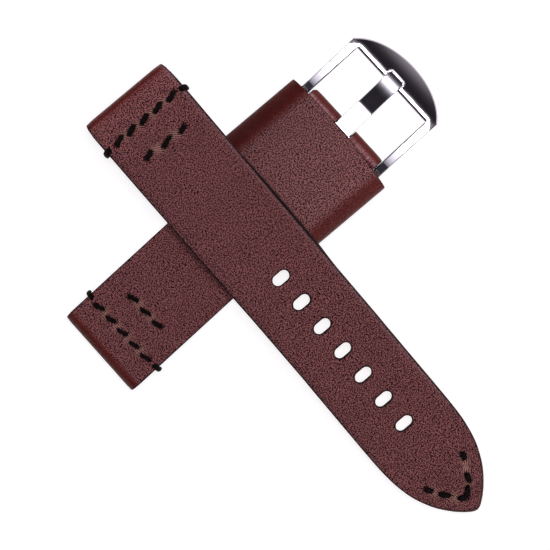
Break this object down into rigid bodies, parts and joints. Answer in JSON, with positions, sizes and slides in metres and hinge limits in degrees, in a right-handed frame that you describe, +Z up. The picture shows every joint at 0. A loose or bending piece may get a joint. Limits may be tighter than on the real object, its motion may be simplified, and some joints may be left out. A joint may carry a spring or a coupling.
{
  "type": "watch strap",
  "caption": "Two-piece leather watch strap with pointed tip, punched holes, a wide sliding keeper and a pin buckle on a sprung bar, laid out crossed.",
  "frame": {"origin": "middle of the bounding box, on the surface that the strap lies on", "axes": "+Y along the short piece from its lug end to the buckle, +X to the right, within two degrees of the long piece from its lug end to its tip, +Z up"},
  "size_m": [0.1212, 0.0938, 0.0112],
  "materials": {
    "top_leather": "fine pebble grain, dark red-brown, soft sheen",
    "keeper_leather": "fine pebble grain, dark red-brown",
    "lining_leather": "smooth, matt, brown",
    "tape": "plain woven, matt",
    "thread": "waxed, twisted, near black",
    "buckle_steel": "polished arms and rim, brushed front",
    "tongue_steel": "polished",
    "bar_steel": "satin"
  },
  "bodies": {
    "short_piece": {"short_top_leather": "top_leather", "short_lining": "lining_leather", "short_tape": "tape", "short_lug_stitches": "thread", "short_second_stitches": "thread", "short_buckle_stitches": "thread", "bar_tube": "bar_steel", "bar_spring": "bar_steel"},
    "long_piece": {"long_top_leather": "top_leather", "long_lining": "lining_leather", "long_tape": "tape", "long_lug_stitches": "thread", "long_second_stitches": "thread", "long_tip_stitches": "thread"},
    "keeper": {"keeper_loop": "keeper_leather", "keeper_stitches": "thread"},
    "buckle": {"buckle_frame": "buckle_steel"},
    "tongue": {"buckle_tongue": "tongue_steel"},
    "pin_left": {"bar_pin_left": "bar_steel"},
    "pin_right": {"bar_pin_right": "bar_steel"}
  },
  "joints": [
    {"name": "buckle_hinge", "type": "hinge", "parent": "short_piece", "child": "buckle", "pos_m": [-0.02165, 0.02606, 0.0036], "axis": [1, 0, 0], "range_deg": [-30, 12]},
    {"name": "tongue_hinge", "type": "hinge", "parent": "buckle", "child": "tongue", "pos_m": [-0.02165, 0.02606, 0.0036], "axis": [1, 0, 0], "range_deg": [0, 40]},
    {"name": "keeper_slide", "type": "slide", "parent": "short_piece", "child": "keeper", "axis": [0, -1, 0], "range_m": [0, 0.036]},
    {"name": "long_lift", "type": "slide", "parent": "short_piece", "child": "long_piece", "axis": [0, 0, 1], "range_m": [0, 0.03]},
    {"name": "pin_left_slide", "type": "slide", "parent": "short_piece", "child": "pin_left", "axis": [1, 0, 0], "range_m": [0, 0.0013], "stiffness_N_per_m": 400, "springref_m": -0.002, "deforming": ["bar_spring"]},
    {"name": "pin_right_slide", "type": "slide", "parent": "short_piece", "child": "pin_right", "axis": [-1, 0, 0], "range_m": [0, 0.0013], "stiffness_N_per_m": 400, "springref_m": -0.002, "deforming": ["bar_spring"]}
  ]
}
